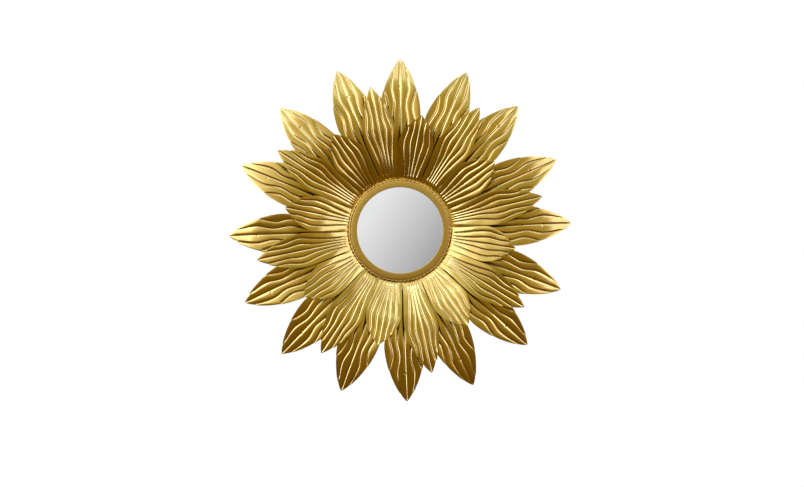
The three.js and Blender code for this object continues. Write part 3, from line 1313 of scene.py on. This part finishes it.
@dataclass
class BackWork:
    """The round pieces behind the petals, turned with softened edges.

    Attributes:
        edge: Width of the chamfer on the board and the plate.
        segments: Steps round the axis.
    """

    edge: float = 0.8 * MM
    segments: int = 160

    sharp_degrees = 30.0

    def turned_disc(self, node: str, slot: Slot, material: bpy.types.Material) -> None:
        """Replaces a disc node by a rounder one with chamfered edges.

        Args:
            node: The CAD node.
            slot: Its material slot.
            material: Its finish.
        """
        low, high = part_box(node)
        radius, back, front = high.x, -high.y, -low.y
        profile = [
            (0.0, back),
            (radius - self.edge, back),
            (radius, back + self.edge),
            (radius, front - self.edge),
            (radius - self.edge, front),
            (0.0, front),
        ]
        mesh = turned_mesh("turned_" + node, profile, self.segments)
        mesh.materials.append(material)
        smooth_faces(mesh, self.sharp_degrees)
        declare(new_piece("turned_" + node, mesh), slot, node)

    def dress(self, node: str, material: bpy.types.Material) -> None:
        """Gives a CAD node that stays its finish.

        Args:
            node: The CAD node.
            material: Its finish.
        """
        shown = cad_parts[node]
        shown.data.materials.clear()
        shown.data.materials.append(material)


# Camera, lights and surroundings


class WorldBench(ShaderBench):
    """Adds and links the nodes of the surroundings."""

    def __init__(self, world: bpy.types.World) -> None:
        """Empties the world's tree and starts with the direction that is seen.

        Args:
            world: The world.
        """
        super().__init__(world.node_tree)
        self.tree.nodes.clear()
        self.direction = self.node("ShaderNodeTexCoord").outputs["Generated"]

    def compare(self, operation: str, aim: Sequence[float]) -> Socket:
        """Compares the direction with an aim.

        Args:
            operation: DOT_PRODUCT or DISTANCE.
            aim: The direction to compare with.

        Returns:
            The result.
        """
        made = self.node("ShaderNodeVectorMath", operation=operation)
        self.link(self.direction, made.inputs[0])
        made.inputs[1].default_value = aim
        return made.outputs["Value"]

    def tones(self, value: Socket, stops: Sequence[tuple[float, Colour]]) -> Socket:
        """A colour read from a scale of stops.

        Args:
            value: The place on the scale.
            stops: Pairs of place and colour, in rising order.

        Returns:
            The colour.
        """
        made = self.node("ShaderNodeValToRGB")
        ends = list(made.color_ramp.elements)
        for place, tone in stops:
            made.color_ramp.elements.new(place).color = (*tone, 1.0)
        for end in ends:
            made.color_ramp.elements.remove(end)
        self.link(value, made.inputs["Fac"])
        return made.outputs["Color"]


class Reading(Enum):
    """What a direction in the room is read by, on a scale from -1 to 1."""

    UP = "up"
    RIGHT = "right"
    ASIDE = "aside"
    FORWARD = "forward"
    LIT_SIDE = "lit side"


@dataclass(frozen=True)
class SoftEdge:
    """Where a part of the room fades out.

    Attributes:
        reading: What it is read by.
        gone: The reading where the part has faded out.
        full: The reading where it has its full colour.
        least: The share that stays past the faded side.
    """

    reading: Reading
    gone: float
    full: float
    least: float = 0.0


@dataclass(frozen=True)
class RoomPart:
    """A wall or glow of the room that the metal reflects.

    Attributes:
        name: What it is.
        colour: Its colour, where 1 shows as white.
        edges: Its soft edges.
    """

    name: str
    colour: Colour
    edges: tuple[SoftEdge, ...]


# Tone of the room from straight down, at 0, to straight up, at 1
ROOM_TONES = (
    (0.0, (0.13, 0.062, 0.002)),
    (0.28, (0.19, 0.100, 0.004)),
    (0.40, (0.265, 0.165, 0.010)),
    (0.50, (0.39, 0.290, 0.050)),
    (0.60, (0.49, 0.390, 0.11)),
    (0.68, (0.56, 0.465, 0.17)),
    (1.0, (0.50, 0.42, 0.20)),
)

# The direction of the side that the band of light lies on
LIT_SIDE = (-0.423, 0.0, 0.906)

# The parts of the room, each laid over those before it
ROOM_PARTS = (
    RoomPart("glow above", (0.64, 0.63, 0.38), (
        SoftEdge(Reading.UP, 0.36, 0.44),
        SoftEdge(Reading.ASIDE, 0.85, 0.60),
    )),
    RoomPart("bright left wall", (1.3, 1.24, 1.05), (
        SoftEdge(Reading.RIGHT, -0.10, -0.58),
        SoftEdge(Reading.UP, -0.18, 0.0),
        SoftEdge(Reading.UP, 0.62, 0.45),
    )),
    RoomPart("warm right wall", (0.7, 0.55, 0.25), (
        SoftEdge(Reading.RIGHT, 0.15, 0.75),
        SoftEdge(Reading.UP, 0.2, 0.0),
        SoftEdge(Reading.UP, -0.42, -0.22),
    )),
    RoomPart("dark sides", (0.13, 0.065, 0.004), (
        SoftEdge(Reading.FORWARD, 0.50, 0.38),
    )),
    RoomPart("band of light along the lit side", (3.4, 3.8, 5.8), (
        SoftEdge(Reading.FORWARD, 0.20, 0.26),
        SoftEdge(Reading.FORWARD, 0.50, 0.44),
        SoftEdge(Reading.ASIDE, 0.25, 0.65, 0.5),
        SoftEdge(Reading.LIT_SIDE, -0.16, -0.02),
    )),
    RoomPart("wall behind", (0.72, 0.66, 0.56), (
        SoftEdge(Reading.FORWARD, -0.05, -0.45),
    )),
)

# The grey screen that the glass reflects: its slant across the view, the tones of its two ends,
# and where it fades out, in shares of the glass's reach
SCREEN_SLANT = (-0.82, 0.0, 0.57)
SCREEN_TONES = (0.37, 0.88)
SCREEN_FADE = (2.6, 1.3)


@dataclass(frozen=True)
class Softbox:
    """A rectangular softbox.

    Attributes:
        name: Its name.
        turn: Bearing to the right of the front, in degrees.
        rise: Height above the axis, in degrees.
        half_width: Half the angle that it spans sideways, seen from the glass.
        half_height: Half the angle that it spans upwards.
        radiance: Its radiance, where 1 shows as white.
        colour: Its colour.
    """

    name: str
    turn: float
    rise: float
    half_width: float
    half_height: float
    radiance: float
    colour: Colour = (0.97, 1.05, 1.65)


SOFTBOXES = (
    Softbox("left_softbox", -50.0, 12.0, 13.0, 16.0, 0.8),
    Softbox("upper_left_softbox", -44.0, 36.0, 16.0, 12.0, 0.7),
    Softbox("right_softbox", 47.0, 12.0, 12.0, 22.0, 1.2),
    Softbox("top_softbox", -2.0, 52.0, 11.0, 15.0, 0.7),
)


@dataclass
class Studio:
    """Camera, softboxes, surroundings and floor.

    Attributes:
        image: Width and height of the picture in pixels.
        centre: Pixel of the picture where the glass's axis meets the outer tips' plane.
        tip_radius_pixels: Radius of the outer tips in the picture.
        tip_lift: Lift of the outer tips.
        distance: Distance of the camera.
        azimuth: How far the camera stands to the right, in degrees.
        elevation: How far it stands above the axis, in degrees.
        sensor: Width of the camera's sensor in millimetres.
        light_distance: Distance of the softboxes.
        floor_drop: How far the floor lies below the axis.
        floor_half: Half the floor's width.
        floor_colour: Colour of the floor.
        floor_roughness: Roughness of the floor.
        floor_glow: How much white the floor gives off, which keeps it pale.
    """

    image: tuple[int, int] = (804, 487)
    centre: tuple[float, float] = (400.1, 230.3)
    tip_radius_pixels: float = 171.0
    tip_lift: float = 12.4 * MM
    distance: float = 6.0
    azimuth: float = 0.6
    elevation: float = -0.3
    sensor: float = 36.0
    light_distance: float = 4.0
    floor_drop: float = 1.2
    floor_half: float = 4.0
    floor_colour: Colour = (0.86, 0.86, 0.85)
    floor_roughness: float = 0.8
    floor_glow: float = 0.4

    @staticmethod
    def toward(turn: float, rise: float) -> Vector:
        """The direction to a place in front of the mirror.

        Args:
            turn: Its bearing to the right of the front, in degrees.
            rise: Its height above the axis, in degrees.

        Returns:
            The direction, of length 1.
        """
        turned, risen = math.radians(turn), math.radians(rise)
        level = math.cos(risen)
        return Vector((math.sin(turned) * level, -math.cos(turned) * level, math.sin(risen)))

    def camera(self) -> None:
        """Makes the camera and aims it so that the object falls where the photograph has it."""
        tip_radius = (cad_box[1].x - cad_box[0].x) / 2
        pixel = tip_radius / self.tip_radius_pixels
        width, height = self.image
        back = self.toward(self.azimuth, self.elevation)
        data = bpy.data.cameras.new("camera")
        data.sensor_width = self.sensor
        data.lens = self.sensor * self.distance / (width * pixel)
        camera = bpy.data.objects.new("camera", data)
        bpy.context.scene.collection.objects.link(camera)
        look = (-back).to_track_quat("-Z", "Y")
        right, up = look @ Vector((1, 0, 0)), look @ Vector((0, 1, 0))
        aim = Vector((0.0, -self.tip_lift, 0.0))
        aim += right * (width / 2 - self.centre[0]) * pixel - up * (height / 2 - self.centre[1]) * pixel
        camera.rotation_mode = "QUATERNION"
        camera.rotation_quaternion = look
        camera.location = aim + back * self.distance
        bpy.context.scene.camera = camera

    def softbox(self, box: Softbox) -> None:
        """Hangs a rectangular softbox that faces the glass.

        Args:
            box: What to hang and where.
        """
        data = bpy.data.lights.new(box.name, "AREA")
        data.shape = "RECTANGLE"
        data.size = 2 * self.light_distance * math.tan(math.radians(box.half_width))
        data.size_y = 2 * self.light_distance * math.tan(math.radians(box.half_height))
        data.energy = box.radiance * math.pi * data.size * data.size_y
        data.color = box.colour
        lamp = bpy.data.objects.new(box.name, data)
        toward = self.toward(box.turn, box.rise)
        lamp.location = toward * self.light_distance
        lamp.rotation_mode = "QUATERNION"
        lamp.rotation_quaternion = toward.to_track_quat("Z", "Y")
        lamp.visible_camera = False
        bpy.context.scene.collection.objects.link(lamp)

    def room(self, bench: WorldBench) -> Socket:
        """The dim warm room that the metal reflects.

        Args:
            bench: Where its nodes are added.

        Returns:
            Its colour in each direction.
        """
        axes = bench.node("ShaderNodeSeparateXYZ")
        bench.link(bench.direction, axes.inputs[0])
        front = self.toward(-self.azimuth, -self.elevation)
        readings = {
            Reading.UP: axes.outputs["Z"],
            Reading.RIGHT: axes.outputs["X"],
            Reading.ASIDE: bench.math("ABSOLUTE", axes.outputs["X"]),
            Reading.FORWARD: bench.compare("DOT_PRODUCT", front),
            Reading.LIT_SIDE: bench.compare("DOT_PRODUCT", LIT_SIDE),
        }
        colour = bench.tones(bench.ramp(readings[Reading.UP], (-1.0, 1.0)), ROOM_TONES)
        for part in ROOM_PARTS:
            shares = [
                bench.ramp(readings[edge.reading], (edge.gone, edge.full), (edge.least, 1.0))
                for edge in part.edges
            ]
            share = shares[0]
            for further in shares[1:]:
                share = bench.math("MULTIPLY", share, further)
            colour = bench.blend(share, colour, part.colour)
            colour.node.label = part.name
        return colour

    def screen(self, bench: WorldBench, room: Socket) -> Socket:
        """Hangs the grey screen that the glass reflects in the middle of the room.

        Args:
            bench: Where its nodes are added.
            room: The room's colour.

        Returns:
            The colour with the screen.
        """
        front = self.toward(-self.azimuth, -self.elevation)
        middle = front.dot(Vector(SCREEN_SLANT))
        sight_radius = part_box("frame_ring")[1].x - FRAME_WIDTH
        reach = sight_radius / self.distance
        slanted = bench.compare("DOT_PRODUCT", SCREEN_SLANT)
        tone = bench.ramp(slanted, (middle - reach, middle + reach), SCREEN_TONES)
        gone, full = SCREEN_FADE
        share = bench.ramp(bench.compare("DISTANCE", front), (gone * reach, full * reach))
        return bench.blend(share, room, tone)

    def surroundings(self) -> None:
        """Shows the room to the metal and the glass, and white paper to the camera."""
        world = bpy.data.worlds.new("studio")
        bpy.context.scene.world = world
        world.use_nodes = True
        bench = WorldBench(world)
        walls = bench.node("ShaderNodeBackground")
        bench.link(self.screen(bench, self.room(bench)), walls.inputs["Color"])
        paper = bench.node("ShaderNodeBackground")
        paper.inputs["Color"].default_value = (1.0, 1.0, 1.0, 1.0)
        choice = bench.node("ShaderNodeMixShader")
        bench.link(bench.node("ShaderNodeLightPath").outputs["Is Camera Ray"], choice.inputs["Fac"])
        bench.link(walls.outputs[0], choice.inputs[1])
        bench.link(paper.outputs[0], choice.inputs[2])
        bench.link(choice.outputs[0], bench.node("ShaderNodeOutputWorld").inputs["Surface"])

    def floor(self) -> None:
        """Lays a plain pale floor, well below the mirror."""
        mesh = bpy.data.meshes.new("floor")
        half = self.floor_half
        corners = [(-half, -half), (half, -half), (half, half), (-half, half)]
        mesh.from_pydata([(x, y, -self.floor_drop) for x, y in corners], [], [(0, 1, 2, 3)])
        bench = FinishBench("pale_floor")
        bench.shader.inputs["Base Color"].default_value = (*self.floor_colour, 1.0)
        bench.shader.inputs["Roughness"].default_value = self.floor_roughness
        bench.shader.inputs["Emission Color"].default_value = (1.0, 1.0, 1.0, 1.0)
        bench.shader.inputs["Emission Strength"].default_value = self.floor_glow
        mesh.materials.append(bench.material)
        plane = new_piece("floor", mesh)
        plane.visible_glossy = False

    def set_up(self) -> None:
        """Makes the whole studio."""
        self.camera()
        for box in SOFTBOXES:
            self.softbox(box)
        self.surroundings()
        self.floor()
        bpy.context.scene.view_settings.view_transform = "Standard"


def patterns() -> list[PetalPattern]:
    """The three kinds of petal, from the back layer to the front.

    Returns:
        The patterns.
    """
    outer = PetalPattern(
        name="outer_petal",
        tip_radius=400.0 * MM,
        bend_radius=FRONT_BEND + 2 * BEND_STEP,
        tab_radius=FRONT_BEND - TAB_LENGTH,
        tab_lift=17.1 * MM,
        root_half_width=21.5 * MM,
        tab_half_width=16.0 * MM,
        belly_half_width=47.5 * MM,
        belly=0.535,
        fullness=1.75,
        bluntness=0.82,
        root_slope=20.0,
        tip_slope=-22.0,
        cup=3.5 * MM,
        near_vein=Vein(0.935, ((0, 0.116), (0.236, 0.232), (0.473, 0.368), (0.625, 0.278), (0.764, 0.417))),
        far_vein=Vein(0.738, ((0, 0.284), (0.236, 0.484), (0.473, 0.705), (0.6, 0.6))),
        notch=0.7 * MM,
        bulge=0.4 * MM,
        dents=((0.76, 0.9 * MM), (0.53, 0.3 * MM)),
        first_bearing=90.0,
        leans=(-0.05, -0.35, 1.4, 1.85, 2.4, 2.3, 3, 2.8, 2.3, 2.3, 1.2, 2.5, 1.9, 0.4, -0.45, -0.9),
    )
    long = PetalPattern(
        name="long_petal",
        tip_radius=340.0 * MM,
        bend_radius=FRONT_BEND + BEND_STEP,
        tab_radius=FRONT_BEND - TAB_LENGTH,
        tab_lift=18.9 * MM,
        root_half_width=22.0 * MM,
        tab_half_width=18.0 * MM,
        belly_half_width=39.3 * MM,
        belly=0.488,
        fullness=1.85,
        bluntness=0.88,
        root_slope=24.0,
        tip_slope=-12.0,
        cup=3.0 * MM,
        near_vein=Vein(0.889, ((0, 0.127), (0.185, 0.165), (0.347, 0.221), (0.519, 0.382), (0.671, 0.318))),
        far_vein=Vein(0.806, ((0, 0.28), (0.185, 0.351), (0.347, 0.534), (0.519, 0.733), (0.694, 0.585))),
        notch=1.4 * MM,
        bulge=0.8 * MM,
        dents=(),
        first_bearing=101.25,
        leans=(0.4, 0.75, 2.1, 2, 1.3, 1.1, 0.5, 0.6),
    )
    front = PetalPattern(
        name="front_petal",
        tip_radius=271.0 * MM,
        bend_radius=FRONT_BEND,
        tab_radius=FRONT_BEND - TAB_LENGTH,
        tab_lift=20.7 * MM,
        root_half_width=26.3 * MM,
        tab_half_width=21.0 * MM,
        belly_half_width=41.0 * MM,
        belly=0.534,
        fullness=1.72,
        bluntness=0.82,
        root_slope=28.0,
        tip_slope=6.0,
        cup=3.0 * MM,
        near_vein=Vein(0.918, ((0, 0.134), (0.17, 0.178), (0.34, 0.244), (0.558, 0.351), (0.769, 0.293))),
        far_vein=Vein(0.823, ((0, 0.305), (0.17, 0.427), (0.34, 0.58), (0.558, 0.702), (0.728, 0.61))),
        notch=1.4 * MM,
        bulge=0.8 * MM,
        dents=(),
        first_bearing=78.75,
        leans=(0.6, 2.15, 2.2, 1.85, 0.4, 0.95, 0.05, 1.2),
    )
    return [outer, long, front]


def main() -> None:
    """Builds the studio and every piece of the mirror, in order from the wall to the front."""
    logging.basicConfig(level=logging.INFO, format="%(message)s")
    Studio().set_up()
    board = PaintedStock("black_board", (0.022, 0.019, 0.017), (0.045, 0.038, 0.032)).make()
    steel = PaintedStock(
        "bronze_steel", (0.16, 0.105, 0.045), (0.28, 0.19, 0.08), roughness=(0.35, 0.6), metallic=0.9
    ).make()
    # The petals' grooves and dents, and the rope's hollows, are darkened with painted shade
    petal_gold = AgedGold(
        "petal_gold",
        hollow_attribute="hollow",
        underside_attribute="underside",
        grain_attribute="sheet_place",
    ).make()
    ring_gold = AgedGold(
        "ring_gold",
        bright=(0.64, 0.455, 0.115),
        warm=(0.60, 0.405, 0.092),
        roughness=(0.36, 0.46),
        coat=0.2,
    ).make()
    rope_gold = AgedGold("rope_gold", roughness=(0.12, 0.18), hollow_attribute="hollow").make()
    silvering = Silvering().make()
    back = BackWork()
    back.turned_disc("back_board", Slot.BOARD, board)
    back.turned_disc("petal_plate", Slot.STEEL, steel)
    back.turned_disc("mirror_backing", Slot.BOARD, board)
    back.turned_disc("mirror_glass", Slot.GLASS, silvering)
    back.dress("hanging_loop", steel)
    for pattern in patterns():
        PetalDie(pattern).press_layer(petal_gold)
    FrameRing().build(ring_gold)
    RopeTrim().build(rope_gold)


if __name__ == "__main__":
    main()
